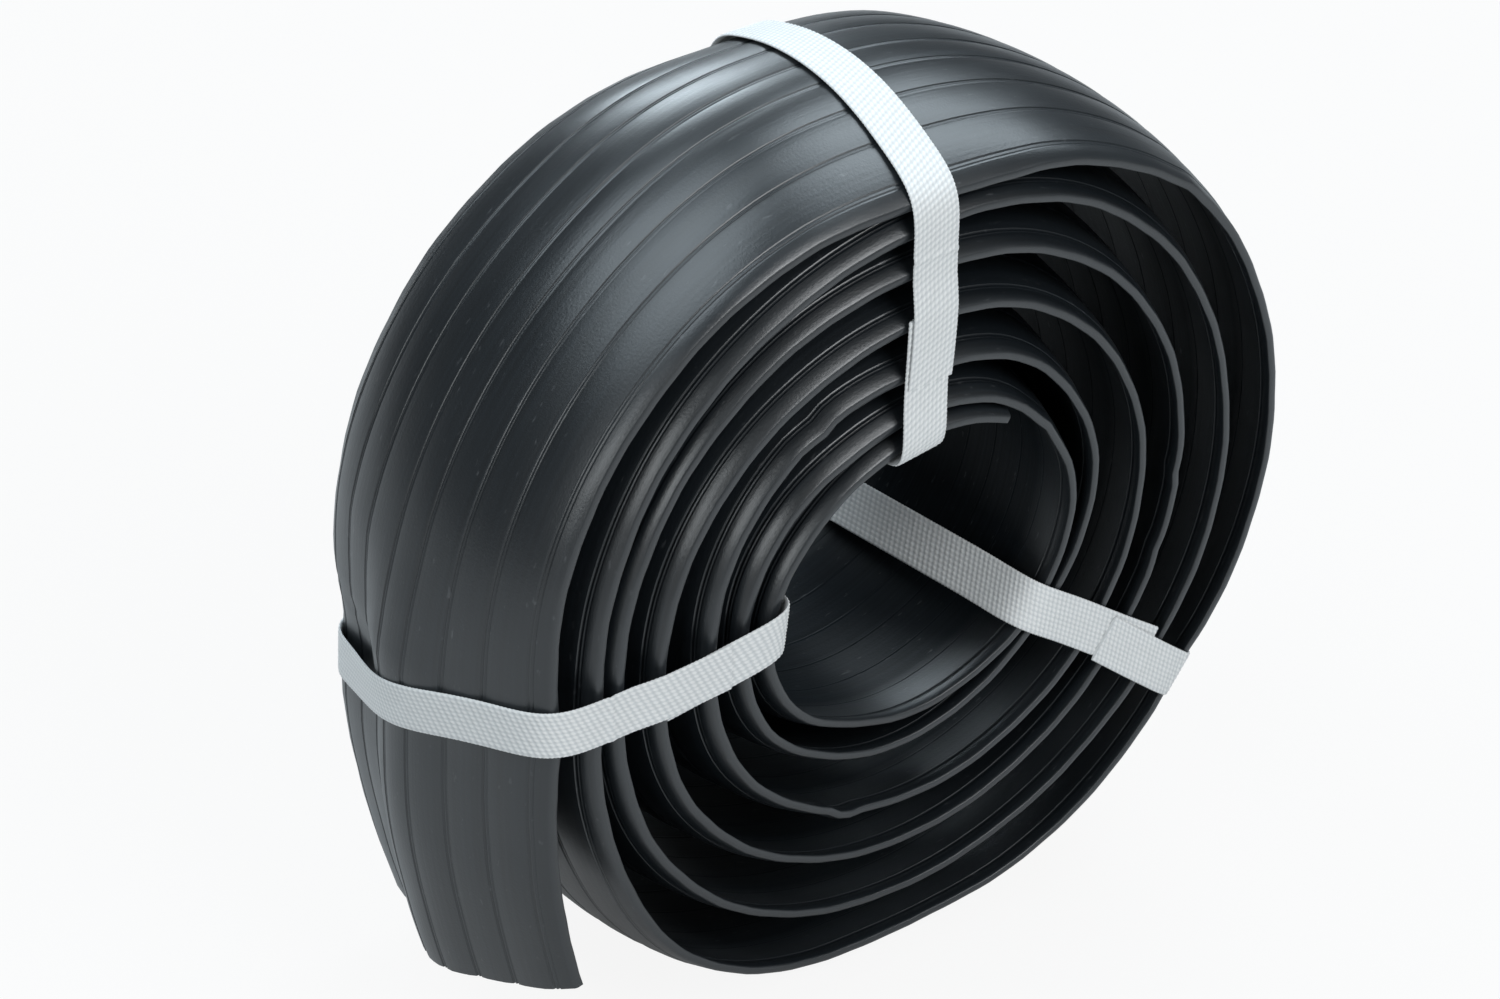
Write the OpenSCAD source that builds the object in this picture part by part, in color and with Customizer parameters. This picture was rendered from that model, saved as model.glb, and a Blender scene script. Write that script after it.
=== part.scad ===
// Coiled rubber cable cover: one long arched strip, wound up and held by three woven straps.
//
// The coil stands on its rim with its axis along Y and its front face towards -Y.
// A turn count u runs along the strip: 0 is at the left, where the outer end leaves the
// coil, and it grows clockwise and inwards, one whole number for each turn.

/* [Strip] */
// Width of the strip, from edge to edge
strip_width = 83; // [60:1:110]
// Height of the wound strip's arch, from the edges' underside to the crown
strip_height = 10.5; // [8:0.5:16]
// Thickness of the rubber
strip_wall = 2.6; // [1.6:0.1:4]
// Width of the plain land along each edge, up to the first groove
edge_land = 4; // [2:0.5:8]
// Number of grooves across the outer face
groove_count = 8; // [4:1:12]

/* [Coil] */
// Radius of the strip's inner edge where the outer turn starts
coil_radius = 107; // [106:0.5:130]
// Step inwards from the outer turn to the next one
outer_pitch = 14; // [14:0.1:16]
// How much closer each further turn lies than the one outside it
pitch_tightening = 1.05; // [0.6:0.05:1.2]
// Number of turns
turns = 6.33; // [4:0.01:6.4]
// How far each further turn sits off the coil's centre
turn_shift = 1; // [0:0.05:1.4]
// Place round the coil towards which the turns sit off-centre, in turns from the left
shift_place = 0.155; // [0:0.005:0.3]
// Length of the outer end that hangs straight down, along its front edge
free_end = 72; // [10:1:90]

/* [Straps] */
// Width of a strap
strap_width = 12; // [8:1:16]
// Thickness of a strap
strap_thickness = 0.8; // [0.5:0.1:1.5]
// Length over which a strap's two ends lie on each other
strap_lap = 18; // [8:1:30]
// How far a strap draws the outer turn's edges in
strap_pull = 7; // [0:0.5:9]
// Gap between a strap and the rubber that it holds
strap_gap = 0.4; // [0.3:0.1:1]
// Place of the strap at the free end, in turns from the left
left_strap_place = 0.01; // [0.01:0.01:0.05]
// Place of the strap at the top, in turns from the left
top_strap_place = 0.25; // [0.2:0.005:0.3]
// Place of the strap at the lower right, in turns from the left
low_strap_place = 0.6; // [0.55:0.01:0.65]

/* [Hidden] */

// Depth of the flat on which the coil stands
foot_depth = 0.5;
// Least gap that must stay between one turn and the next
least_gap = 0.4;
// Cross-sections in each turn, and along the free end
rings_per_turn = 24;
free_end_rings = 4;
// Width of the dip that a strap draws in, and how many turns in it fades, both in turns
pull_reach = 0.05;
pull_fade = 1.2;
// Share of a strap's pull that the crown doesn't follow: the arch gets higher there
arch_share = 0.85;
// How much further out the back edge lies than the front edge at the free end
back_flare = 5;
// Number of turns in which that fades
flare_fade = 0.08;
// Slope of the hanging end at its top, and how it curls back in, in slope per mm
end_swing = 0.13;
end_curl = 0.0052;
// How much longer the hanging end gets with each mm from the front edge to the back
end_slant = 0.26;
// How far its back flank sags in, round which share of the width, and how far that reaches
end_sag = 6;
sag_share = 0.75;
sag_reach = 0.2;
sag_fade = 0.03;
// How far the wound strip lies outside an even spiral, at eight places in each turn: it is wound
// by hand, so it doesn't run evenly
lay_places = 8;
lay = [
    0.5, 2, 3.5, 5.5, 5.5, 5, 4.5, 8.5,
    -2, 1.5, 6.5, 6, 4.5, 4.5, 5, 6.5,
    4.5, 5.5, 6.5, 5, 2.5, 1.5, 3, 5,
    4, 3, 3, 3, 3, 2.5, 2.5, 2.5,
    0, 1, 0, 1, -2.5, -4.5, -4, -0.5,
    1, -2, -3, -0.5, 2, -1, -2, 0,
    2.5, -4, -2, 5.5
];
// Distance of each strap's lap from the outer turn's edge
left_lap = 26;
top_lap = 26;
low_lap = 16;
// How far each strap lies to the side of its place at its four bends, towards growing turn
// counts: front in the bore, front at the outer turn, back at the outer turn, back in the bore
left_strap_sides = [2.8, -3, -21.5, -8];
top_strap_sides = [-5, -1, 0, -2];
low_strap_sides = [-2.5, 2, 1, 3.5];

strap_places = [left_strap_place, top_strap_place, low_strap_place];
arch_rise = strip_height - strip_wall;

// ---- Where the strip's edge lies, at turn count u ----

// Distance round the coil between two places, at most half a turn
function apart(a, b) =
    let (d = (a - b) - floor(a - b))
    min(d, 1 - d);

// How far the straps draw the strip in
function drawn_in(u) =
    let (dips = [for (place = strap_places) exp(-pow(apart(u, place) / pull_reach, 2))])
    strap_pull * exp(-u / pull_fade) * (dips[0] + dips[1] + dips[2]);

// How far the strip lies outside the even spiral
function laid_out(u) =
    let (i = min(floor(u * lay_places), len(lay) - 2), share = u * lay_places - i)
    lay[i] * (1 - share) + lay[i + 1] * share;

// Radius of the inner edge of the strip
function edge_radius(u) =
    coil_radius
    - (outer_pitch + pitch_tightening / 2) * u
    + pitch_tightening / 2 * u * u
    + turn_shift * u * cos(360 * (u - shift_place))
    + laid_out(u)
    - drawn_in(u);

// Directions from the coil's axis out to turn count u, and along the strip there, as [x, z]
function outward(u) = [-cos(360 * u), sin(360 * u)];
function along(u) = [sin(360 * u), cos(360 * u)];

// The hanging end counts on backwards: its turn counts are below 0
function hanging_length(u) = -u * 2 * PI * edge_radius(0);
function hanging_count(length) = -length / (2 * PI * edge_radius(0));

// The strip's inner edge at turn count u, and the direction that its arch points in, as [x, z]
function edge_point(u) =
    let (d = hanging_length(u))
    u < 0
        ? [-edge_radius(0) - end_swing * d + end_curl / 2 * d * d, -d]
        : edge_radius(u) * outward(u);
function arch_direction(u) =
    let (slope = end_swing - end_curl * hanging_length(u))
    u < 0 ? [-1, slope] / norm([-1, slope]) : outward(u);

// ---- The strip's cross-section, as [height over the edge's underside, place along Y] ----

// Places of the grooves and edges across the strip, from 0 at the front to 1 at the back
land_share = edge_land / strip_width;
stations = concat(
    [0],
    [for (i = [0 : groove_count - 1]) land_share + (1 - 2 * land_share) * i / (groove_count - 1)],
    [1]
);

// Height of the arch's underside at turn count u and share s of the width
function sag(u, s) = end_sag * exp(-u / sag_fade) * max(1 - abs(s - sag_share) / sag_reach, 0);
function arch(u, s) =
    let (wound = max(u, 0))
    (arch_rise + arch_share * drawn_in(wound)) * (1 - pow(2 * s - 1, 2))
    + back_flare * exp(-wound / flare_fade) * s
    - sag(wound, s);

function section(u) = concat(
    [for (s = stations) [arch(u, s) + strip_wall, s * strip_width]],
    [for (i = [len(stations) - 1 : -1 : 0]) [arch(u, stations[i]), stations[i] * strip_width]]
);
corners = 2 * len(stations);

// ---- The strip as one unbroken sweep ----

// Cross-sections of the wound part lie half a step off, so that a flat facet faces the floor
wound_steps = concat(
    [0],
    [for (i = [0.5 : 1 : turns * rings_per_turn - 0.3]) i / rings_per_turn],
    [turns]
);
free_steps = [
    for (i = [free_end_rings : -1 : 1]) hanging_count(free_end * i / free_end_rings)
];
steps = concat(free_steps, wound_steps);

// The hanging end is cut on a slant, so its cross-sections lie on a slant too
function slanted(u, y) = u < 0 ? u * (1 + end_slant * y / free_end) : u;
function section_points(u) = [
    for (corner = section(u))
        let (
            count = slanted(u, corner[1]),
            flat = edge_point(count) + corner[0] * arch_direction(count)
        )
        [flat[0], corner[1], flat[1]]
];
strip_points = [for (u = steps) each section_points(u)];

// The outer box of the coil and its straps places it: its middle is over the origin
xs = [for (p = strip_points) p[0]];
zs = [for (p = strip_points) p[2]];
left_strap_points = strap_points(left_strap_place, left_strap_sides);
left_most = min(concat(xs, [for (p = left_strap_points) p[0]]));
axis_x = -(left_most + max(xs)) / 2;
axis_y = (strap_thickness - strip_width) / 2;
// The flat on which the coil stands is at height 0
floor_z = min(zs) + foot_depth;
axis_z = -floor_z;

// Triangles between neighbouring cross-sections, and over the two ends
side_faces = [
    for (i = [0 : len(steps) - 2])
        for (j = [0 : corners - 1])
            let (
                a = i * corners + j,
                b = i * corners + (j + 1) % corners,
                c = (i + 1) * corners + (j + 1) % corners,
                d = (i + 1) * corners + j
            )
            each [[a, b, c], [a, c, d]]
];
function end_faces(first, forward) = [
    for (j = [0 : corners / 2 - 2])
        let (
            a = first + j,
            b = first + j + 1,
            c = first + corners - 2 - j,
            d = first + corners - 1 - j
        )
        each (forward ? [[a, c, b], [a, d, c]] : [[a, b, c], [a, c, d]])
];
strip_faces = concat(
    side_faces,
    end_faces(0, true),
    end_faces((len(steps) - 1) * corners, false)
);

// ---- Least gap between a turn and the next one in, measured along each corner's line ----

gap_steps = [0 : 1 / rings_per_turn / 2 : turns - 1];
turn_gaps = [for (u = gap_steps) edge_radius(u) - edge_radius(u + 1) - strip_wall];
echo(least_gap_between_turns = min(turn_gaps), needed = least_gap);
echo(coil_axis = [axis_x, axis_y, axis_z], inmost_radius = edge_radius(turns));
echo(strip_length = free_end + wound_length(), rings = len(steps), triangles = len(strip_faces));

// Length of the wound part, along the middle of the wall at the edge
function wound_length() =
    let (
        mids = [for (u = wound_steps) edge_point(u) + strip_wall / 2 * arch_direction(u)],
        lengths = [for (i = [1 : len(mids) - 1]) norm(mids[i] - mids[i - 1])]
    )
    sum(lengths);
function sum(list, i = 0) = i == len(list) ? 0 : list[i] + sum(list, i + 1);

// ---- A strap's loop round the coil's section ----

// Turn count of the innermost turn under a strap at this place
function inmost(place) = place + floor(turns - place);

// Turn counts of the strip under the two sides and the middle of a strap
function counts_under(u, side) = [
    for (t = [-0.5, 0, 0.5]) u + (side + t * strap_width) / (2 * PI * edge_radius(max(u, 0)))
];

// Distance of the strip's outer face from the axis, under a strap, at share s of the width
function tread_reach(place, side, s) =
    max([for (u = counts_under(place, side)) edge_point(u) * outward(place) + arch(u, s)])
    + strip_wall;

// Radius that a flat strap takes inside a round turn, so that its two sides clear the turn's facets
function inside_radius(u) =
    let (r = min([for (near = counts_under(u, 0)) edge_radius(near)]) * cos(180 / rings_per_turn))
    sqrt(r * r - pow(strap_width / 2, 2)) - strap_gap;

// A strap's bend in the bore lies round the innermost turn by the strap's sideways distance
function bore_count(place, side) =
    let (u = inmost(place))
    u + side / (2 * PI * edge_radius(u));

// The loop's inner line as [radius, place along Y], with one corner for each bend and groove
function strap_line(place, sides) =
    let (
        front_bore = inside_radius(bore_count(place, sides[0])),
        back_bore = inside_radius(bore_count(place, sides[3])),
        front_rim = tread_reach(place, sides[1], 0) - strip_wall / 2,
        back_rim = tread_reach(place, sides[2], 1) - strip_wall / 2
    )
    concat(
        [[front_bore, -strap_gap], [front_rim, -strap_gap]],
        [
            for (s = stations)
                let (side = sides[1] * (1 - s) + sides[2] * s)
                [tread_reach(place, side, s) + strap_gap, s * strip_width]
        ],
        [[back_rim, strip_width + strap_gap], [back_bore, strip_width + strap_gap]]
    );

// The line moved outwards by a distance, corner by corner
function left_normal(a, b) = let (d = (b - a) / norm(b - a)) [d[1], -d[0]];
function moved_out(line, distance) = [
    for (i = [0 : len(line) - 1])
        let (
            n = len(line),
            before = left_normal(line[(i + n - 1) % n], line[i]),
            after = left_normal(line[i], line[(i + 1) % n]),
            middle = (before + after) / norm(before + after)
        )
        line[i] + middle * distance / (middle * before)
];

// A corner of the line, moved to the strap's left or right side, as a point of the part
function strap_point(place, side, in_bore, corner, half) =
    let (
        u = in_bore ? bore_count(place, side) : place,
        flat = corner[0] * outward(u) + (half + (in_bore ? 0 : side)) * along(u)
    )
    [flat[0], corner[1], flat[1]];

// Sideways distance of each corner of the loop
function bend_sides(sides) = concat(
    [sides[0], sides[1]],
    [for (s = stations) sides[1] * (1 - s) + sides[2] * s],
    [sides[2], sides[3]]
);

// Four corners at each bend: the inner face's two and the outer face's two
function strap_points(place, sides) =
    let (
        line = strap_line(place, sides),
        over = moved_out(line, strap_thickness),
        last = len(line) - 1,
        half = strap_width / 2,
        shifts = bend_sides(sides)
    )
    [
        for (i = [0 : last])
            let (in_bore = i == 0 || i == last)
            each [
                strap_point(place, shifts[i], in_bore, line[i], -half),
                strap_point(place, shifts[i], in_bore, line[i], half),
                strap_point(place, shifts[i], in_bore, over[i], half),
                strap_point(place, shifts[i], in_bore, over[i], -half)
            ]
    ];

// Triangles between the bends, in a closed ring
ring_corners = 4;
function ring_faces(bends) = [
    for (i = [0 : bends - 1])
        for (j = [0 : ring_corners - 1])
            let (
                next = (i + 1) % bends,
                a = i * ring_corners + j,
                b = i * ring_corners + (j + 1) % ring_corners,
                c = next * ring_corners + (j + 1) % ring_corners,
                d = next * ring_corners + j
            )
            each [[a, b, c], [a, c, d]]
];

// ---- Parts ----

module on_coil_axis() {
    translate([axis_x, axis_y, axis_z]) children();
}

// The lowest stretch is cut flat, so that the coil stands
module cover_strip() {
    color("#33373a")
        difference() {
            on_coil_axis()
                polyhedron(strip_points, strip_faces);
            translate([-coil_radius / 2, -strip_width, -2 * foot_depth])
                cube([coil_radius, 2 * strip_width, 2 * foot_depth]);
        }
}

module strap(place, sides, lap) {
    line = strap_line(place, sides);
    points = strap_points(place, sides);
    color("#dfe3e6")
        on_coil_axis()
        union() {
            polyhedron(points, ring_faces(len(line)));
            lap_layer(points, line[1][0] - line[0][0], edge_radius(place) - lap - line[0][0]);
        }
}

// The second layer on the front, between two distances from the bend in the bore
module lap_layer(points, run, start) {
    shares = [(start - strap_lap) / run, start / run];
    depth = [0, strap_thickness / 2, 0];
    // The band's first two bends lie on the front: its outer face is their third and fourth corner
    edges = [[points[3], points[7]], [points[2], points[6]]];
    ends = [for (share = shares, edge = edges) edge[0] * (1 - share) + edge[1] * share];
    hull()
        polyhedron(
            concat([for (p = ends) p + depth], [for (p = ends) p - 2 * depth]),
            [[0, 1, 3, 2], [4, 6, 7, 5], [0, 4, 5, 1], [1, 5, 7, 3], [3, 7, 6, 2], [2, 6, 4, 0]]
        );
}

module strap_left() {
    strap(left_strap_place, left_strap_sides, left_lap);
}

module strap_top() {
    strap(top_strap_place, top_strap_sides, top_lap);
}

module strap_low() {
    strap(low_strap_place, low_strap_sides, low_lap);
}

cover_strip();
strap_left();
strap_top();
strap_low();
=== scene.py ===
# %% [markdown]
# # A coiled rubber cable cover
# A cable cover is a flat rubber strip with an arched back. It lies on the floor over a lead, so
# that nobody trips. For the shop it is wound up and held by three woven straps. This notebook
# loads the plain construction model, then makes the rubber and the straps in full detail.
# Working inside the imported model's frame, in metres, means that nothing needs fitting later.

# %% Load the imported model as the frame
import math

import bpy
import numpy as np
from mathutils import Matrix, Vector


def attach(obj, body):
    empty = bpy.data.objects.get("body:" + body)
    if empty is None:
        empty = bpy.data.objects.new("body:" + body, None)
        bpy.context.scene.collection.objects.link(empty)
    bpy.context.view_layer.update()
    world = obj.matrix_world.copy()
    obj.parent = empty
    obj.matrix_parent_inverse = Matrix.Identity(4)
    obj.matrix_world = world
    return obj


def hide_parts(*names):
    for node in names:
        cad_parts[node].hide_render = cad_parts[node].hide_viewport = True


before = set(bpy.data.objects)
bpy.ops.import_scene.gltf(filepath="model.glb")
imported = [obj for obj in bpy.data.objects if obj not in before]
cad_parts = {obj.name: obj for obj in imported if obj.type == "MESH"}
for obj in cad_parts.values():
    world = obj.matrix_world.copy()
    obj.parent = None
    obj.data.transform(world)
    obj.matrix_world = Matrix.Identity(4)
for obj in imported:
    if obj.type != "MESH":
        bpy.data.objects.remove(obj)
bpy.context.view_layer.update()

# %% [markdown]
# ## The camera
# The camera comes first, because it decides how much of each piece is seen. A long lens from the
# front left and above shows the tread, the front rims and some of the bore. The three directions
# of the view are worked out from two angles, which is easier to check than a rotation in Euler
# angles.

# %% Place the camera
# The coil's axis runs along y, and this is where it crosses the plane of the front rims
coil_axis = np.array([0.003371, -0.0411, 0.109625])
camera_from_axis = Vector((-0.472383, -0.583870, 0.530132))
swing = math.radians(-35.852)
climb = math.radians(34.05)
view_back = Vector(
    (math.sin(swing) * math.cos(climb), -math.cos(swing) * math.cos(climb), math.sin(climb))
)
view_right = Vector((math.cos(swing), math.sin(swing), 0))
view_up = view_back.cross(view_right)
camera_data = bpy.data.cameras.new("long_lens")
camera_data.sensor_width = 36
camera_data.lens = 95.69
camera = bpy.data.objects.new("camera", camera_data)
camera.matrix_world = Matrix((view_right, view_up, view_back)).transposed().to_4x4()
camera.location = Vector(coil_axis) + camera_from_axis
bpy.context.scene.collection.objects.link(camera)
bpy.context.scene.camera = camera
print("camera", round(camera.location.length, 3), "m from the origin, lens", camera_data.lens, "mm")

# %% [markdown]
# ## The line that the strip follows
# The strip is one piece of rubber, wound by hand, so no simple spiral fits it. What does is a
# short table of readings in millimetres, taken by place: place 0 is at the left, and places grow
# clockwise as seen from the front, one whole number for each turn. The outer turn is seen best
# and needs most care, because each strap pulls its rims in while its crown stays, so the arch
# is higher there. The inner turns need only the radius of the rim.

# %% Readings of the outer turn
MM = 0.001
# Place, radius of the front rim, height of the arch, and how far the back rim stands out
outer_turn = [
    (0.00, 102.6, 14.4, 5.5), (0.02, 104.4, 11.8, 4.8), (0.04, 106.2, 9.4, 3.6),
    (0.06, 107.6, 8.2, 2.8), (0.08, 108.5, 7.5, 2.1), (0.12, 109.1, 7.1, 1.3),
    (0.16, 108.6, 8.0, 0.6), (0.18, 107.8, 9.1, 0.6), (0.20, 106.6, 10.2, 0.7),
    (0.22, 104.8, 11.3, 0.8), (0.24, 103.3, 11.9, 0.9), (0.26, 103.0, 11.7, 1.4),
    (0.28, 103.9, 10.5, 2.0), (0.30, 105.8, 8.7, 1.8), (0.33, 107.7, 7.1, 1.0),
    (0.38, 109.2, 6.3, 0.2), (0.42, 108.4, 6.4, 0.0), (0.46, 107.7, 6.7, 0.0),
    (0.50, 106.6, 7.1, 0.0), (0.53, 105.2, 7.8, 0.0), (0.56, 103.4, 9.1, 0.0),
    (0.58, 101.9, 10.3, 0.0), (0.60, 100.0, 11.5, 0.0), (0.62, 101.2, 10.3, 0.0),
    (0.65, 102.5, 8.5, 0.0), (0.70, 103.1, 7.4, 0.0), (0.74, 101.5, 7.4, 0.0),
    (0.77, 101.8, 7.4, 0.0), (0.80, 104.0, 7.4, 0.0), (0.86, 104.7, 7.4, 0.0),
    (0.89, 102.0, 7.4, 0.0), (0.92, 98.4, 7.4, 0.2), (0.96, 95.0, 8.1, 0.6),
]
# The same for the hanging end, by its drop below the coil's axis
hanging_end = [
    (0, 102.6, 14.4, 5.5), (10, 104.0, 13.5, 3.3), (20, 104.6, 13.5, 3.2),
    (30, 104.4, 13.5, 4.3), (40, 104.1, 13.5, 4.3), (50, 103.1, 13.5, 4.2),
    (60, 101.5, 13.5, 4.2), (72, 99.2, 13.5, 4.4), (94, 93.8, 13.5, 4.4),
]
# Its flank sags in near the back: place across and change of height
flank_sag = [(0, 0), (4, 0), (15, -1), (25, -1.1), (36, 0)]
flank_sag += [(46, -0.7), (58, -4.6), (68, -4), (83, 0)]
print(len(outer_turn), "places on the outer turn,", len(hanging_end), "on the hanging end")

# %% Readings of the inner turns
# The places where the rims were read, the same in each turn
places = [0, 0.06, 0.12, 0.18, 0.245, 0.31, 0.38, 0.46, 0.53, 0.60, 0.68, 0.76, 0.84, 0.92]
rim_wall = 2.1
# Radius of the rim's inner edge, one row for each turn
inner_turns = [
    [90.2, 91.5, 93.5, 94.0, 94.2, 95.3, 93.7, 91.0, 88.8, 86.4, 86.1, 86.7, 87.5, 86.5],
    [84.6, 85.3, 85.8, 85.3, 83.7, 82.9, 80.3, 77.0, 73.6, 71.2, 70.8, 71.8, 73.2, 73.8],
    [73.0, 73.2, 72.8, 71.5, 70.4, 69.3, 67.1, 64.9, 62.3, 60.5, 59.2, 59.3, 59.7, 60.1],
    [59.3, 60.2, 60.6, 60.0, 57.6, 57.1, 53.9, 50.0, 44.8, 40.9, 40.3, 42.4, 45.2, 49.0],
    [50.3, 50.9, 49.7, 47.4, 46.6, 46.2, 44.0, 42.9, 40.0, 37.4, 34.9, 34.9, 36.6, 41.4],
    [43.5, 42.4, 40.5, 39.8, 40.2, 41.2],
]
last_turn = 6.338
turns_read = [place for place, _, _, _ in outer_turn]
for turn, row in enumerate(inner_turns):
    turns_read += [1 + turn + place for place in places[: len(row)]]
turns_read += [last_turn]
radii_read = [radius - rim_wall for _, radius, _, _ in outer_turn]
radii_read += [radius for row in inner_turns for radius in row] + [41.9]
print(len(radii_read), "readings for", last_turn, "turns")

# %% [markdown]
# ## Smooth curves through the readings
# A wound strip has no corners, so the readings are joined by cubic curves that pass through each
# one with a steady slope. One helper serves every table. A strap also squeezes the turns below
# it, less and less further in, so the height of the inner arches comes from a short formula.

# %% Curves and the straps' squeeze
strap_turns = (0.01, 0.25, 0.60)
squeeze_reach = 0.05
squeeze_depth = 1.2


def smooth_curve(at, values):
    """A function that runs smoothly through readings and stays level beyond them."""
    at, values = np.array(at, float), np.array(values, float)
    slopes = np.gradient(values, at)

    def curve(x):
        x = np.clip(np.asarray(x, float), at[0], at[-1])
        i = np.clip(np.searchsorted(at, x, side="right") - 1, 0, len(at) - 2)
        step = at[i + 1] - at[i]
        t = (x - at[i]) / step
        level = (2 * t**3 - 3 * t**2 + 1) * values[i] + (3 * t**2 - 2 * t**3) * values[i + 1]
        return level + ((t**3 - 2 * t**2 + t) * slopes[i] + (t**3 - t**2) * slopes[i + 1]) * step

    return curve


def strap_squeeze(turn):
    """How strongly the straps squeeze the rims at a turn count: less and less further in."""
    squeeze = 0.0
    for place in strap_turns:
        apart = np.abs((turn - place + 0.5) % 1 - 0.5)
        squeeze = squeeze + np.exp(-((apart / squeeze_reach) ** 2))
    return squeeze * np.exp(-np.maximum(turn, 0) / squeeze_depth)


print("squeeze on the second turn, under the top strap:", round(float(strap_squeeze(1.25)), 2))

# %% Join the tables into curves
# Counts below 0 are on the hanging end, where one whole count is this many mm of strip
hanging_count = 2 * np.pi * 100.4
inner_rise = 7.4
rise_under_strap = 5.9
hanging_rows = [(-row[0] / hanging_count,) + row[1:] for row in reversed(hanging_end[1:])]
outer_rows = hanging_rows + outer_turn
inner_steps = np.arange(1.0, last_turn, 0.04)
rise_turns = [row[0] for row in outer_rows] + list(inner_steps)
rise_values = [row[2] for row in outer_rows]
rise_values += list(inner_rise + rise_under_strap * strap_squeeze(inner_steps))
lift_turns = [row[0] for row in outer_rows] + [1.0, 1.1]
rim_radius = smooth_curve(turns_read, radii_read)
arch_rise = smooth_curve(rise_turns, rise_values)
back_lift = smooth_curve(lift_turns, [row[3] for row in outer_rows] + [0.6, 0.0])
sag = smooth_curve(*zip(*flank_sag))
drops = [row[0] for row in hanging_end]
hanging_distance = smooth_curve(drops, [row[1] for row in hanging_end])
gap_turns = np.arange(0, last_turn - 1, 0.01)
pitches = rim_radius(gap_turns) - rim_radius(gap_turns + 1)
closest = float(gap_turns[pitches.argmin()])
print("closest turns are", round(float(pitches.min()), 2), "mm apart, at count", round(closest, 2))

# %% [markdown]
# ## Places on the coil
# Each point of the strip has a turn count, a place across and a height. Two functions turn these
# into x and z: one gives the rim's line, the other the direction in which the arch points. On the
# wound part that is straight out from the axis, and on the hanging end it is square to the line.
# Strip and straps share these functions, so they always lie on the same coil.

# %% Where the strip lies and which way its arch points
def outward(turn):
    """Direction from the coil's axis out to a turn count, as x and z."""
    return np.stack([-np.cos(2 * np.pi * turn), np.sin(2 * np.pi * turn)], -1)


def rim_point(turn):
    """The front rim's inner edge as x and z; counts below 0 are on the hanging end."""
    turn = np.asarray(turn, float)
    drop = -turn * hanging_count
    hanging = np.stack([rim_wall - hanging_distance(drop), -drop], -1)
    return np.where(turn[..., None] < 0, hanging, rim_radius(turn)[..., None] * outward(turn))


def arch_direction(turn):
    """Direction in which the arch points, as x and z."""
    turn = np.asarray(turn, float)
    drop = -turn * hanging_count
    slope = (hanging_distance(drop + 1) - hanging_distance(drop - 1)) / 2
    # The lean grows over the first 15 mm, so the arch doesn't turn abruptly
    slope = slope * np.clip(drop / 15, 0, 1)
    hanging = np.stack([-np.ones_like(slope), slope], -1) / np.hypot(1, slope)[..., None]
    return np.where(turn[..., None] < 0, hanging, outward(turn))


print("hanging end turns in by", round(float(hanging_distance(20) - hanging_distance(72)), 1), "mm")

# %% [markdown]
# ## The strip's cross-section
# The rubber is pressed through a steel die, so one outline runs along its whole length. It is an
# arch about 2.6 mm thick with thinner rims. The outer face has eight grooves, each a pair of fine
# cuts with a low rib between them. The hollow face has a pair of cuts beside each rim and six
# faint ribs. A swept outline keeps every line crisp and costs few faces, so it is better here
# than displacement. The edges of the cuts are marked sharp, so that smooth shading doesn't
# spread them over the bands.

# %% Draw the outer face of the section
strip_width = 83.0
wall = 2.6
band_bulge = 0.2
rib_height = 0.14
sag_fade = 0.04
# The grooves' places as shares of the width
groove_places = [0.048, 0.177, 0.306, 0.435, 0.551, 0.694, 0.823, 0.952]


def arch_height(turn, across):
    """Height of the arch's hollow face at a turn count, in mm over the front rim's inner edge."""
    share = across / strip_width
    rise = arch_rise(turn) * (1 - (2 * share - 1) ** 2) + back_lift(turn) * share
    return rise + sag(across) * np.clip(1 - turn / sag_fade, 0, 1)


def wall_height(across):
    """Thickness of the rubber without its grooves: it thins over a twentieth at each rim."""
    edge = np.minimum(across, strip_width - across) / strip_width
    return rim_wall + (wall - rim_wall) * np.clip(edge / 0.05, 0, 1)


# Corners of the outline: place, height over the plain outline, and whether the edge is sharp
outer_cut = [(-0.8, 0, True), (-0.5, -0.48, False), (-0.15, -0.12, False)]
outer_cut += [(0.15, -0.12, False), (0.5, -0.48, False), (0.8, 0, True)]
outer_face = [(0.3, 0, False)]
for i, place in enumerate(groove_places):
    middle = place * strip_width
    outer_face += [(middle + aside, rise, sharp) for aside, rise, sharp in outer_cut]
    if i + 1 < len(groove_places):
        to_next = (groove_places[i + 1] - place) * strip_width
        outer_face += [(middle + to_next * part, band_bulge, False) for part in (0.25, 0.5, 0.75)]
outer_face += [(strip_width - 0.3, 0, False)]
print(len(outer_face), "points on the outer face")

# %% Draw the hollow face and close the outline
rim_cuts = [(0.3, 0, False), (4.0, 0, True), (4.35, 0.4, False)]
rim_cuts += [(4.7, 0.1, False), (5.05, 0.4, False), (5.4, 0, True)]
hollow_face = list(rim_cuts)
for place in groove_places[1:-1]:
    middle = place * strip_width
    hollow_face += [(middle - 5, 0, False)]
    hollow_face += [(middle - 0.35, 0, True), (middle, -rib_height, False), (middle + 0.35, 0, True)]
hollow_face += [(strip_width - across, rise, sharp) for across, rise, sharp in reversed(rim_cuts)]

# Each corner has its place across the strip and its height over the arch's hollow face
outline = [(0.0, 0.35, False), (0.0, rim_wall - 0.35, False)]
outline += [(across, wall_height(across) + rise, sharp) for across, rise, sharp in outer_face]
outline += [(strip_width, rim_wall - 0.35, False), (strip_width, 0.35, False)]
outline += reversed(hollow_face)
section = np.array([(across, height) for across, height, _ in outline])
section_sharp = np.array([sharp for _, _, sharp in outline])
corners = len(section)
outer_corner = np.zeros(corners)
outer_corner[: len(outer_face) + 3] = 1
print(corners, "corners round the section")

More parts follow.
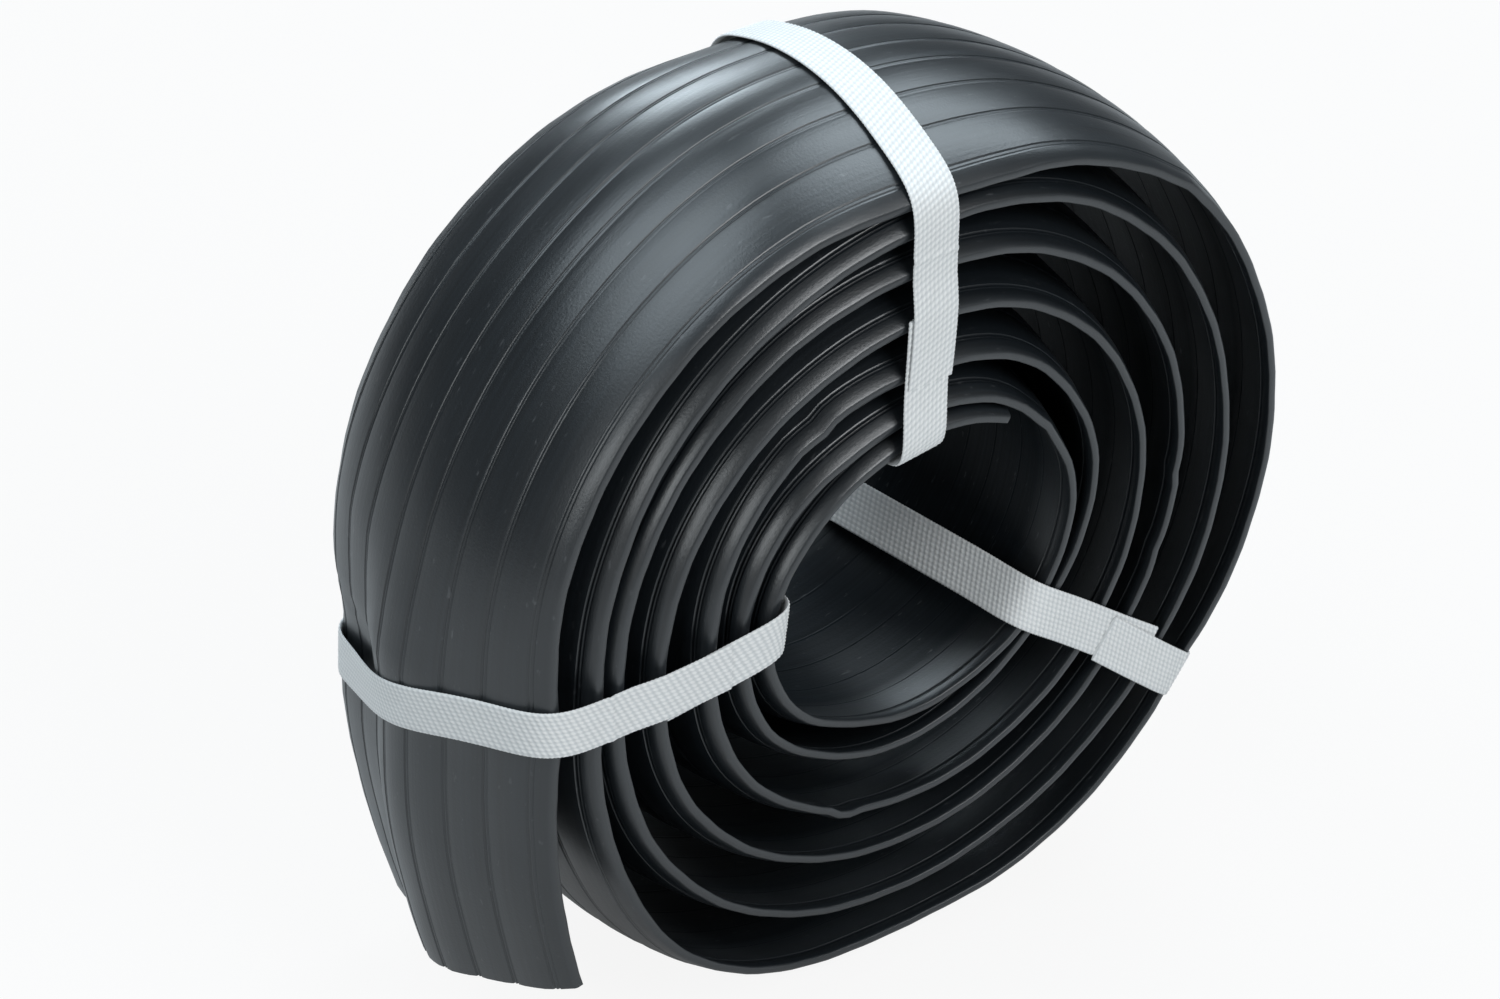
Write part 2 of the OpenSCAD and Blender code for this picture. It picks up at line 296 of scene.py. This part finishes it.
# %% [markdown]
# ## Small accidents along the strip
# The outline is perfect, but a wound strip isn't. Its rims are a little ragged, because the rubber
# was trimmed there, and a few spots are dented. Each dent is a smooth push in or out of the rim
# that fades within a few millimetres along the strip and over the first bands across it.

# %% Rim waviness and dents
dent_width = 14
ragged_width = 2.5
# Turn count, push outwards in mm and reach along the strip in turns
dents = [(2.497, -0.9, 0.006), (2.545, -0.7, 0.006), (3.81, 1.5, 0.008), (4.165, -1.1, 0.008)]
dents += [(0.37, 0.5, 0.006), (5.385, 0.5, 0.010)]


def rim_push(turn, along, across):
    """How far the rubber is pushed outwards, in mm, at a place along and across the strip."""
    push = np.zeros(np.broadcast(turn, across).shape)
    for place, depth, reach in dents:
        push += depth * np.exp(-(((turn - place) / reach) ** 2)) * np.exp(-((across / dent_width) ** 2))
    for side, offset in ((across, 0.0), (strip_width - across, 2.1)):
        ragged = 0.07 * np.sin(along / 1.9 + offset) + 0.10 * np.sin(along / 5.3 + 2 * offset)
        ragged += 0.25 * np.sin(along / 23.0 + 3 * offset)
        push += ragged * np.exp(-((side / ragged_width) ** 2))
    return push


print(len(dents), "dents")

# %% [markdown]
# ## Sweep the section along the line
# Rings of the section stand every 3.5 mm along the line. On the wound part each ring points
# straight out from the coil's axis. The outer end isn't wound: it hangs down for 72 mm along its
# front rim and turns in a little at its tip, and its slanted cut makes it longer at the back. The
# rings are joined by quads and the two cut ends are closed. Every point keeps its distance along
# and across the strip and which face it is on, because the rubber's finish follows them.

# %% Find the rings' places
ring_step = 3.5
free_end = 71.7
end_slant = 0.235
ring_turns = list(-np.arange(free_end, 0, -ring_step) / hanging_count) + [0.0]
while ring_turns[-1] < last_turn:
    ring_turns.append(ring_turns[-1] + ring_step / (2 * np.pi * float(rim_radius(ring_turns[-1]))))
ring_turns = np.array(ring_turns[:-1] + [last_turn])
steps = np.linalg.norm(np.diff(rim_point(ring_turns), axis=0), axis=1)
# The end is cut on a slant, so the hanging rings reach down further towards the back
slant = 1 + end_slant * section[None, :, 0] / free_end
corner_turns = ring_turns[:, None] * np.where(ring_turns[:, None] < 0, slant, 1)
feet = rim_point(corner_turns)
out = arch_direction(corner_turns)
along = np.concatenate([[0], np.cumsum(steps)])
print(len(feet), "rings, strip", round(along[-1] / 1000, 2), "m long")

# %% Place the strip's points
height = arch_height(corner_turns, section[None, :, 0]) + section[None, :, 1]
height = height + rim_push(ring_turns[:, None], along[:, None], section[None, :, 0])
flat_points = feet + height[..., None] * out
strip_points = np.empty(height.shape + (3,))
strip_points[..., 0] = flat_points[..., 0]
strip_points[..., 1] = section[None, :, 0]
strip_points[..., 2] = flat_points[..., 1]
strip_points = strip_points.reshape(-1, 3) * MM + coil_axis
lowest = float(strip_points[:, 2].min()) / MM
print(len(strip_points), "points on the strip, the lowest", round(lowest, 2), "mm over the floor")

# %% Helpers that make a swept mesh
def tube_faces(rings, corners):
    """Quads between neighbouring rings, and one face over each end."""
    ring = np.arange(rings - 1)[:, None] * corners
    here = np.arange(corners)[None, :]
    after = (here + 1) % corners
    quads = np.stack([ring + here, ring + after, ring + corners + after, ring + corners + here], -1)
    first_end = list(range(corners))
    last_end = list(range((rings - 1) * corners, rings * corners))[::-1]
    return quads.reshape(-1, 4)[:, ::-1].tolist() + [first_end, last_end]


def make_piece(name, points, faces, sharp_corner, values):
    """A smooth mesh with sharp lines along some corners and named values at its points."""
    corners = len(sharp_corner)
    mesh = bpy.data.meshes.new(name)
    mesh.from_pydata(points.tolist(), [], faces)
    mesh.shade_smooth()
    ends = np.empty(len(mesh.edges) * 2, np.int32)
    mesh.edges.foreach_get("vertices", ends)
    ends = ends.reshape(-1, 2)
    same = (ends[:, 0] % corners == ends[:, 1] % corners) & sharp_corner[ends[:, 0] % corners]
    last = len(points) - corners
    rim = (ends < corners).all(1) | (ends >= last).all(1)
    sharp = mesh.attributes.new("sharp_edge", "BOOLEAN", "EDGE")
    sharp.data.foreach_set("value", same | rim)
    for value_name, value in values.items():
        attribute = mesh.attributes.new(value_name, "FLOAT", "POINT")
        attribute.data.foreach_set("value", np.ascontiguousarray(value, np.float32).ravel())
    mesh.validate()
    piece = bpy.data.objects.new(name, mesh)
    bpy.context.scene.collection.objects.link(piece)
    return piece


print("mesh helpers ready")

# %% Build the strip
strip_values = {
    "along": np.repeat(along, corners) * MM,
    "across": np.tile(section[:, 0], len(feet)) * MM,
    "outside": np.tile(outer_corner, len(feet)),
}
strip_faces = tube_faces(len(feet), corners)
strip = make_piece("rubber_strip", strip_points, strip_faces, section_sharp, strip_values)
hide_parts("cover_strip")
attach(strip, "root")
print(len(strip.data.polygons), "faces on the strip")

# %% [markdown]
# ## The rubber's finish
# Black rubber isn't black: fillers make it a cool dark grey with a satin skin. Drawing it through
# the die leaves faint streaks along the strip, and handling leaves lighter scuffs and worn rims.
# All of this is made from noise that is stretched by the along and across values, so the streaks
# turn with the strip. Colour and roughness are varied gently, and a fine grain goes in as bump.
# The hollow face reflects less than the outer one, so the gaps between the turns stay dark.

# %% Helpers for node trees
def new_material(name):
    """An empty node material, with its shader and its two helpers for adding and joining nodes."""
    material = bpy.data.materials.new(name)
    material.use_nodes = True
    tree = material.node_tree
    tree.nodes.clear()
    surface = tree.nodes.new("ShaderNodeBsdfPrincipled")
    output = tree.nodes.new("ShaderNodeOutputMaterial")
    tree.links.new(surface.outputs[0], output.inputs[0])

    def add(kind, links=None, **settings):
        node = tree.nodes.new("ShaderNode" + kind)
        for key, value in settings.items():
            if key in node.inputs:
                node.inputs[key].default_value = value
            else:
                setattr(node, key, value)
        for key, source in (links or {}).items():
            tree.links.new(source, node.inputs[key])
        return node

    return material, surface, add, tree.links.new


def ramp(add, source, low, high, bottom=0.0, top=1.0):
    """Maps source from low..high to bottom..top, without going past either."""
    node = add("MapRange", {0: source})
    for i, value in enumerate((low, high, bottom, top)):
        node.inputs[i + 1].default_value = value
    return node.outputs[0]


def tint(add, share, below, colour):
    """Lays a colour over what is below it, which is a colour or another node's output."""
    plain = isinstance(below, tuple)
    node = add("Mix", {0: share} if plain else {0: share, 6: below}, data_type="RGBA")
    if plain:
        node.inputs[6].default_value = below
    node.inputs[7].default_value = colour
    return node.outputs[2]


print("node helpers ready")

# %% Mix the rubber
rubber, rubber_surface, add, link = new_material("satin_rubber")
along_value = add("Attribute", attribute_name="along").outputs["Fac"]
across_value = add("Attribute", attribute_name="across").outputs["Fac"]
outside_value = add("Attribute", attribute_name="outside").outputs["Fac"]
strip_place = add("CombineXYZ", {0: along_value, 1: across_value, 2: outside_value}).outputs[0]


def strip_noise(along_scale, across_scale, detail=3.0, shift=0.0):
    """Noise laid along the strip: scales are in patches per metre."""
    stretched = add("VectorMath", {0: strip_place}, operation="MULTIPLY")
    stretched.inputs[1].default_value = (along_scale, across_scale, 7.0)
    moved = add("VectorMath", {0: stretched.outputs[0]}, operation="ADD")
    moved.inputs[1].default_value = (shift, shift, shift)
    noise = add("TexNoise", {"Vector": moved.outputs[0]}, Scale=1.0, Detail=detail)
    return noise.outputs[0]


streaks = strip_noise(9, 900, 2.0)
clouds = strip_noise(22, 60, 4.0, 3.0)
scuffs = strip_noise(260, 700, 3.0, 9.0)
edge_distance = add("Math", {0: across_value}, operation="SUBTRACT")
edge_distance.inputs[1].default_value = strip_width / 2 * MM
edge_distance = add("Math", {0: edge_distance.outputs[0]}, operation="ABSOLUTE").outputs[0]
print("rubber patterns ready")

# %% Colour of the rubber
deep_grey = (0.0045, 0.0062, 0.0080, 1)
cloud_grey = (0.0078, 0.0105, 0.0130, 1)
streak_grey = (0.0125, 0.0170, 0.0215, 1)
scuff_grey = (0.10, 0.105, 0.11, 1)
worn_grey = (0.05, 0.054, 0.058, 1)
tone = tint(add, clouds, deep_grey, cloud_grey)
streaked = tint(add, ramp(add, streaks, 0.35, 0.75, 0.0, 0.55), tone, streak_grey)
scuffed = tint(add, ramp(add, scuffs, 0.66, 0.78, 0, 0.5), streaked, scuff_grey)
worn = tint(add, ramp(add, edge_distance, 0.0408, 0.0414, 0, 0.22), scuffed, worn_grey)
link(worn, rubber_surface.inputs["Base Color"])
print("rubber colour ready")

# %% Sheen and grain of the rubber
satin = ramp(add, clouds, 0.3, 0.7, 0.31, 0.39)
matt_hollow = ramp(add, outside_value, 0, 1, 0.08, 0)
roughness = add("Math", {0: satin, 1: matt_hollow}, operation="ADD")
link(roughness.outputs[0], rubber_surface.inputs["Roughness"])
# The hollow face is dull, but it is rubbed smooth beside the rims
hollow_sheen = ramp(add, edge_distance, 0.024, 0.035, 0.08, 0.65)
sheen = add("Mix", {0: outside_value, 2: hollow_sheen}, data_type="FLOAT")
sheen.inputs[3].default_value = 0.85
link(sheen.outputs[0], rubber_surface.inputs["Specular IOR Level"])
grain_place = add("TexCoord").outputs["Object"]
grain = add("TexNoise", {"Vector": grain_place}, Scale=1500.0, Detail=3.0).outputs[0]
grain_and_streaks = add("Math", {0: grain, 1: streaks}, operation="ADD").outputs[0]
grain_bump = add("Bump", {"Height": grain_and_streaks}, Strength=0.30, Distance=0.00012)
link(grain_bump.outputs[0], rubber_surface.inputs["Normal"])
strip.data.materials.append(rubber)
print("rubber has", len(rubber.node_tree.nodes), "nodes")

# %% [markdown]
# ## The straps
# Each strap is a flat woven band. It starts on the front of the coil, goes in over the innermost
# rim, through the bore, out over the back, round over the tread and down the front again, where
# its end lies on its own start and is welded to it. The path is a list of corners in a plane
# through the coil's axis: distance from the axis and place across the strip, with a sideways
# distance, because a hand-drawn strap never runs quite straight. Averaging rounds the corners off.

# %% Sizes of a strap
strap_width = 12.2
strap_thick = 0.75
strap_gap = 0.35
half_strap = strap_width / 2
# Corners are averaged over the bend's length, and pushed out by these bulges to make up for it
bend_length = 34.0
rim_bulge = 1.65
bore_bulge = 1.95
# The path stands off by this much, because rounding a corner cuts it short
stand_off = strap_gap + strap_thick / 2 + 0.35
front_plane = -stand_off
back_plane = strip_width + stand_off
bore_radius = 42
# A corner takes up this much of the straight run after it, and this much of the tread
past_corner = 16
past_rim = 13
# A strap is pushed out a little at the tread's two rims
rim_lift = 0.3
# The upper layer of a lap climbs onto the lower one over this length
layer_climb = 8


def table(pairs, x):
    """Reads a short table of pairs at x."""
    return np.interp(x, [pair[0] for pair in pairs], [pair[1] for pair in pairs])


print("strap", strap_width, "mm wide and", strap_thick, "mm thick")

# %% Where a strap touches the coil
def face_distance(place, sideways, across):
    """Distance of the outer turn's face from the axis, along the direction out at a place."""
    reach = rim_radius(place) + arch_height(place, across)
    turn = place + np.arcsin(sideways / np.maximum(reach, 1)) / (2 * np.pi)
    turn = np.where(turn < 0, sideways / hanging_count, turn)
    point = rim_point(turn) + (arch_height(turn, across) + wall)[..., None] * arch_direction(turn)
    return point @ outward(place)


def bore_distance(turn):
    """Distance from the axis of a flat band that just clears the innermost rim."""
    near = turn + np.array([-0.5, -0.25, 0, 0.25, 0.5]) * strap_width / (2 * np.pi * bore_radius)
    radius = float(np.min(rim_radius(np.minimum(near, last_turn))))
    return math.sqrt(radius**2 - half_strap**2) - stand_off


def taut(across, distance):
    """A tight band bridges hollows: the line stretched over the given distances."""
    stretched = distance.copy()
    for i in range(len(across)):
        for j in range(i + 2, len(across)):
            share = (across[i : j + 1] - across[i]) / (across[j] - across[i])
            straight = distance[i] * (1 - share) + distance[j] * share
            stretched[i : j + 1] = np.maximum(stretched[i : j + 1], straight)
    return stretched


print("a strap in the bore lies", round(bore_distance(5.6), 1), "mm from the axis at count 5.6")

# %% Corners of a strap's path
# Each corner: distance from the axis, place across, sideways distance, tilt and layer
def through_the_bore(place, inner_run, bore_end, lap_start, bow):
    """Corners down the front, in over the innermost rim, through the bore and out at the back."""
    innermost = place + math.floor(last_turn - place)
    ends = [innermost + side / (2 * np.pi * bore_radius) for side in (inner_run[0][1], bore_end)]
    front_bore, back_bore = [bore_distance(turn) for turn in ends]
    front_side = table(inner_run, front_bore)
    run = np.arange(lap_start, front_bore + 15, -2.0)
    path = [(distance, front_plane, table(inner_run, distance), 0, 0) for distance in run]
    path += [(front_bore - bore_bulge, front_plane - bore_bulge - bow, front_side, 0, 0)]
    near, far = 0.81, 0.19
    path += [(front_bore, past_corner, front_side * near + bore_end * far, 0, 0)]
    path += [(back_bore, strip_width - past_corner, front_side * far + bore_end * near, 0, 0)]
    return path + [(back_bore - bore_bulge, back_plane + bore_bulge, bore_end, 0, 0)]


def over_the_tread(place, tread):
    """Corners round the back rim, over the tread and round the front rim."""
    crossings = np.linspace(strip_width, 0, 43)
    sides = np.array([table(tread, across) for across in crossings])
    # The band rests on what is highest under its two edges and its middle
    left, middle, right = [
        taut(crossings, face_distance(place, sides + offset, crossings))
        for offset in (-half_strap, 0, half_strap)
    ]
    distances = np.maximum((left + right) / 2, middle) + stand_off
    tilts = (right - left) / strap_width
    path = [(distances[0] + rim_lift, back_plane + rim_bulge, sides[0], tilts[0], 0)]
    for row in zip(distances, crossings, sides, tilts):
        if past_rim < row[1] < strip_width - past_rim:
            path += [row + (0,)]
    return path + [(distances[-1] + rim_lift, front_plane - rim_bulge, sides[-1], tilts[-1], 0)]


print("corners of a path ready")

# %% Join a strap's path
def strap_path(place, inner_run, outer_run, tread, bore_end, lap, bow):
    """All corners of a strap: its end climbs onto its start just outside the lap."""
    lap_start, lap_end = lap
    path = through_the_bore(place, inner_run, bore_end, lap_start, bow)
    path += over_the_tread(place, tread)
    for distance in np.arange(path[-1][0] - past_corner, lap_end, -1.0):
        layer = np.clip((lap_start + 1 + layer_climb - distance) / layer_climb, 0, 1)
        path += [(distance, front_plane, table(outer_run, distance), 0, layer)]
    return np.array(path, float)


print("whole paths ready")

# %% Round the corners off
def walk(path, step):
    """Points at an even step along a path, with its corners rounded by averaging."""
    lengths = np.concatenate([[0], np.cumsum(np.linalg.norm(np.diff(path[:, :2], axis=0), axis=1))])
    stations = np.linspace(0, lengths[-1], int(lengths[-1] / step) + 1)
    points = np.stack([np.interp(stations, lengths, path[:, i]) for i in range(path.shape[1])], -1)
    reach = int(bend_length / step / 2)
    window = np.hanning(2 * reach + 3)[1:-1]
    window /= window.sum()
    # Both ends are carried on straight, so that the averaging doesn't shorten them
    before = points[:1] + (points[0] - points[1]) * np.arange(reach, 0, -1)[:, None]
    after = points[-1:] + (points[-1] - points[-2]) * np.arange(1, reach + 1)[:, None]
    padded = np.concatenate([before, points, after])
    smooth = np.stack([np.convolve(padded[:, i], window, "valid") for i in range(4)], -1)
    return np.concatenate([smooth, points[:, 4:]], 1)


print("corners are averaged over", bend_length, "mm")

# %% [markdown]
# ## The weave
# The band is a twill: about ten yarns run along it, and each one bulges where it passes over the
# cross yarns. The bulges of neighbouring yarns are a third of a period apart, which is what makes
# the slanting rows. They are real bumps in the mesh, a fifth of a millimetre high, so they show in
# any light. The edges are finely toothed, where the cross yarn turns back.

# %% Height of the weave
yarn_pitch = 1.16
float_length = 1.7
weave_relief = 0.22


def weave_height(along, across):
    """Height of the woven face over its mean, in mm."""
    yarn = np.round(across / yarn_pitch)
    lean = 0.5 * (across / yarn_pitch - yarn)
    ridge = np.cos(np.pi * across / yarn_pitch) ** 2
    bulge = np.cos(2 * np.pi * (along / float_length + yarn / 3 + lean))
    return weave_relief * (0.35 + 0.65 * ridge) * (0.5 + 0.5 * bulge) - 0.06 * (1 - ridge)


def tooth(along):
    """How far the selvedge sticks out, in mm."""
    return 0.18 * np.abs(np.sin(np.pi * along / 1.05)) - 0.09


print("yarns", int(strap_width / yarn_pitch), "across")

# %% [markdown]
# ## Sweep the band
# The band's section is a thin strip with rounded edges, with many points on its woven face and few
# underneath. It is carried along the path in steps of a third of a millimetre, which is fine enough
# for each bulge of the weave. Where the two ends lie on each other, the second layer is lifted by
# one thickness, and a low ridge crosses the band a little outside the lap, where it was pressed.

# %% Draw the band's section
face_points = 37
under_points = 9
band_face = np.linspace(half_strap, -half_strap, face_points)
band_under = np.linspace(-half_strap, half_strap, under_points)
band = np.concatenate([band_face, band_under])
on_face = np.concatenate([np.ones(face_points), np.zeros(under_points)])
# The edges are rounded over the last half millimetre
rounded = np.clip((half_strap - np.abs(band)) / 0.5, 0, 1) ** 0.5
face_lift = strap_thick / 2 * (0.35 + 0.65 * rounded)
band_lift = np.where(on_face > 0, face_lift, -strap_thick / 2 * rounded)
selvedge = np.abs(band) > half_strap - 0.2
print(len(band), "points round the band")

# %% Build a strap
weave_step = 0.36
pressed_ridge = 0.30


def sideways(turn):
    """Direction along the strip at a turn count, as x and z."""
    return np.stack([np.sin(2 * np.pi * turn), np.cos(2 * np.pi * turn)], -1)


def strap_mesh(name, place, path, pressed_at):
    """Sweeps the woven band along a path and returns the piece."""
    line = walk(path, weave_step)
    distance, across_strip, side, tilt, layer = line.T
    direction = np.gradient(np.stack([distance, across_strip], -1), axis=0)
    direction /= np.linalg.norm(direction, axis=1)[:, None]
    away = np.stack([-direction[:, 1], direction[:, 0]], -1)
    run = np.arange(len(line)) * weave_step
    relief = weave_height(run[:, None], band[None, :]) * on_face * rounded
    ridge = pressed_ridge * np.exp(-(((distance - pressed_at) / 0.7) ** 2)) * (across_strip < 0)
    lift = band_lift[None, :] + relief + (layer * (strap_thick + 0.1) + ridge)[:, None]
    wide = band[None, :] * (1 + tooth(run)[:, None] * selvedge / half_strap)
    # Inside the bore the band turns with the round rim; elsewhere it stays square to the plane
    turned = (side / np.maximum(distance, 1)) * np.clip((60 - distance) / 12, 0, 1)
    swung_out = np.cos(turned)[:, None] * outward(place) + np.sin(turned)[:, None] * sideways(place)
    swung_side = np.cos(turned)[:, None] * sideways(place) - np.sin(turned)[:, None] * outward(place)
    straight = side - distance * np.tan(turned)
    radial = distance[:, None] + away[:, :1] * lift + tilt[:, None] * wide
    depth = across_strip[:, None] + away[:, 1:] * lift
    flat = radial[..., None] * swung_out[:, None, :]
    flat = flat + (straight[:, None] + wide)[..., None] * swung_side[:, None, :]
    points = np.stack([flat[..., 0], depth, flat[..., 1]], -1).reshape(-1, 3) * MM + coil_axis
    values = {"run": np.repeat(run, len(band)) * MM, "wide": np.tile(band, len(run)) * MM}
    values["relief"] = relief
    # The band's section runs the other way round from the strip's, so its faces are turned
    faces = [face[::-1] for face in tube_faces(len(run), len(band))]
    return make_piece(name, points, faces, np.zeros(len(band), bool), values)


print("one step along the weave is", weave_step, "mm")

# %% [markdown]
# ## Lay the three straps
# Each strap was drawn tight by hand, so each leans and bends in its own way. Short tables say how
# far its middle line lies to one side: down the front, over the tread and down the front again.
# A strap's lap is given by the distances from the axis between which its two ends overlap.

# %% Lay the three straps
# Runs are read by distance from the axis, and the tread by the place across
left_shape = dict(
    inner_run=[(41, 6.6), (45, 5.6), (57, 1.7), (74, -0.1)],
    outer_run=[(57, 2.1), (73, 1.2), (90, 1.0), (102, 3.2)],
    tread=[(0, 3), (20, 0.3), (34, -3.6), (44, -6.9), (53, -10.2), (62, -13.5), (71, -16.7), (83, -20.7)],
    bore_end=-6,
    lap=(74, 57),
    bow=1.0,
)
top_shape = dict(
    inner_run=[(42, -5.0), (53, -4.0), (57, -2.8), (74, -2.2)],
    outer_run=[(56, -2.7), (60, -2.2), (77, -1.1), (102, -2.4)],
    tread=[(0, -2.0), (10, -0.8), (25, 0.6), (55, 2.5), (83, 6.0)],
    bore_end=-6,
    lap=(74, 56),
    bow=1.5,
)
low_shape = dict(
    inner_run=[(33, -2.6), (37, -3.0), (45, -3.2), (64, -2.3), (83, -2.1)],
    outer_run=[(65, -1.4), (83, 0.4), (98, 1.75)],
    tread=[(0, 2), (83, 1)],
    bore_end=5.0,
    lap=(83, 65),
    bow=-1.0,
)
strap_pieces = []
for node, place, shape in (
    ("strap_left", 0.0, left_shape),
    ("strap_top", 0.25, top_shape),
    ("strap_low", 0.60, low_shape),
):
    pressed_at = shape["lap"][0] + 15
    piece = strap_mesh("woven_" + node, place, strap_path(place, **shape), pressed_at)
    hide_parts(node)
    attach(piece, "root")
    strap_pieces.append(piece)
    print(piece.name, len(piece.data.polygons), "faces")

# %% [markdown]
# ## The straps' finish
# The yarns are bleached polyester: white, dull and with a faint sheen. The bumps already make the
# weave, so the finish only adds the fine filaments inside each yarn and a slight change of tone
# along the band. A painted shade darkens the hollows between the yarns, where light hardly reaches.

# %% Patterns of the polyester
polyester, polyester_surface, add, link = new_material("white_polyester")
run_value = add("Attribute", attribute_name="run").outputs["Fac"]
wide_value = add("Attribute", attribute_name="wide").outputs["Fac"]
band_place = add("CombineXYZ", {0: run_value, 1: wide_value}).outputs[0]
filament_scale = add("VectorMath", {0: band_place}, operation="MULTIPLY")
filament_scale.inputs[1].default_value = (700, 6000, 1)
filaments = add("TexNoise", {"Vector": filament_scale.outputs[0]}, Scale=1.0, Detail=2.0).outputs[0]
blotch_scale = add("VectorMath", {0: band_place}, operation="MULTIPLY")
blotch_scale.inputs[1].default_value = (90, 260, 1)
blotches = add("TexNoise", {"Vector": blotch_scale.outputs[0]}, Scale=1.0, Detail=3.0).outputs[0]
print("polyester patterns ready")

# %% Mix the white polyester
dull_white = (0.78, 0.78, 0.77, 1)
clear_white = (0.86, 0.86, 0.85, 1)
filament_grey = (0.70, 0.71, 0.71, 1)
# Grey of the painted shade in the hollows between the yarns
painted_shade_grey = (0.43, 0.455, 0.47, 1)
relief_value = add("Attribute", attribute_name="relief").outputs["Fac"]
white = tint(add, blotches, dull_white, clear_white)
white_yarn = tint(add, ramp(add, filaments, 0.3, 0.7, 0, 0.5), white, filament_grey)
# Painted shade: the colour goes darker where the weave's relief is low, between the yarns
woven = tint(add, ramp(add, relief_value, -0.06, 0.12, 0.7, 0), white_yarn, painted_shade_grey)
link(woven, polyester_surface.inputs["Base Color"])
link(ramp(add, filaments, 0.2, 0.8, 0.62, 0.78), polyester_surface.inputs["Roughness"])
filament_bump = add("Bump", {"Height": filaments}, Strength=0.35, Distance=0.00006)
link(filament_bump.outputs[0], polyester_surface.inputs["Normal"])
polyester_surface.inputs["Sheen Weight"].default_value = 0.15
for piece in strap_pieces:
    piece.data.materials.append(polyester)
print("polyester has", len(polyester.node_tree.nodes), "nodes")

# %% [markdown]
# ## The floor
# The coil stands on a pale floor without a horizon. The floor is a matt grey that takes the coil's
# shadow, mixed with a white glow. Only the camera sees the glow in full, so the background is white
# without putting more light on the coil. Black rubber shows a pale floor mostly in its sheen, so
# reflections see only a little of the glow.

# %% Floor that stays white and keeps the shadow
floor_mesh = bpy.data.meshes.new("floor")
floor_mesh.from_pydata([(-4, -4, 0), (4, -4, 0), (4, 4, 0), (-4, 4, 0)], [], [(0, 1, 2, 3)])
floor = bpy.data.objects.new("floor", floor_mesh)
bpy.context.scene.collection.objects.link(floor)
floor_material = bpy.data.materials.new("white_floor")
floor_material.use_nodes = True
tree = floor_material.node_tree
tree.nodes.clear()


def floor_math(operation, first, second):
    """A maths node on one output and on another output or a plain number."""
    node = tree.nodes.new("ShaderNodeMath")
    node.operation = operation
    tree.links.new(first, node.inputs[0])
    if isinstance(second, float):
        node.inputs[1].default_value = second
    else:
        tree.links.new(second, node.inputs[1])
    return node.outputs[0]


print("floor laid")

# %% Mix the floor
glow_share = 0.90
reflected_share = 0.15
matt = tree.nodes.new("ShaderNodeBsdfDiffuse")
matt.inputs[0].default_value = (0.55, 0.55, 0.55, 1)
glow = tree.nodes.new("ShaderNodeEmission")
glow.inputs[0].default_value = (1, 1, 1, 1)
rays = tree.nodes.new("ShaderNodeLightPath").outputs
reflected = floor_math("MAXIMUM", rays["Is Glossy Ray"], rays["Is Transmission Ray"])
dimmed = floor_math("MULTIPLY", reflected, reflected_share)
seen = floor_math("MAXIMUM", rays["Is Camera Ray"], dimmed)
blend = tree.nodes.new("ShaderNodeMixShader")
tree.links.new(floor_math("MULTIPLY", seen, glow_share), blend.inputs[0])
tree.links.new(matt.outputs[0], blend.inputs[1])
tree.links.new(glow.outputs[0], blend.inputs[2])
floor_out = tree.nodes.new("ShaderNodeOutputMaterial")
tree.links.new(blend.outputs[0], floor_out.inputs[0])
floor_mesh.materials.append(floor_material)
print("floor has", len(tree.nodes), "nodes")

# %% [markdown]
# ## The lamps
# Rubber shows its form by wide soft reflections, so every lamp is a large panel. Two overhead light
# the top of the tread and leave its left side dark, and one behind reaches the bottom of the bore.
# A panel at the front lights the rims and the straps, and a weaker one at the left keeps the
# hanging end from going black. The room itself gives only a faint, cool light.

# %% Room light and lamps
world = bpy.data.worlds.new("room")
bpy.context.scene.world = world
world.use_nodes = True
room_light = world.node_tree.nodes["Background"]
room_light.inputs[0].default_value = (0.92, 0.97, 1, 1)
room_light.inputs[1].default_value = 0.10
coil_middle = Vector((0, 0, 0.11))


def panel(name, place, size, power, colour):
    """A square lamp that faces the coil."""
    data = bpy.data.lights.new(name, "AREA")
    data.shape = "SQUARE"
    data.size = size
    data.energy = power
    data.color = colour
    lamp = bpy.data.objects.new(name, data)
    lamp.location = place
    lamp.rotation_euler = (coil_middle - Vector(place)).to_track_quat("-Z", "Y").to_euler()
    bpy.context.scene.collection.objects.link(lamp)


cool = (0.80, 0.92, 1.0)
panel("overhead_panel", (0.75, 0.25, 1.25), 0.8, 10.5, cool)
panel("top_left_panel", (-0.50, 0.35, 1.45), 1.0, 11, cool)
panel("back_panel", (0.62, 1.6, 0.90), 0.6, 10, cool)
panel("front_panel", (0.30, -1.45, 1.30), 1.0, 22, (0.95, 0.98, 1.0))
panel("left_panel", (-1.5, -0.7, 0.9), 0.8, 8, (0.93, 0.98, 1.0))
bpy.context.scene.view_settings.view_transform = "Standard"
print("lamps ready")
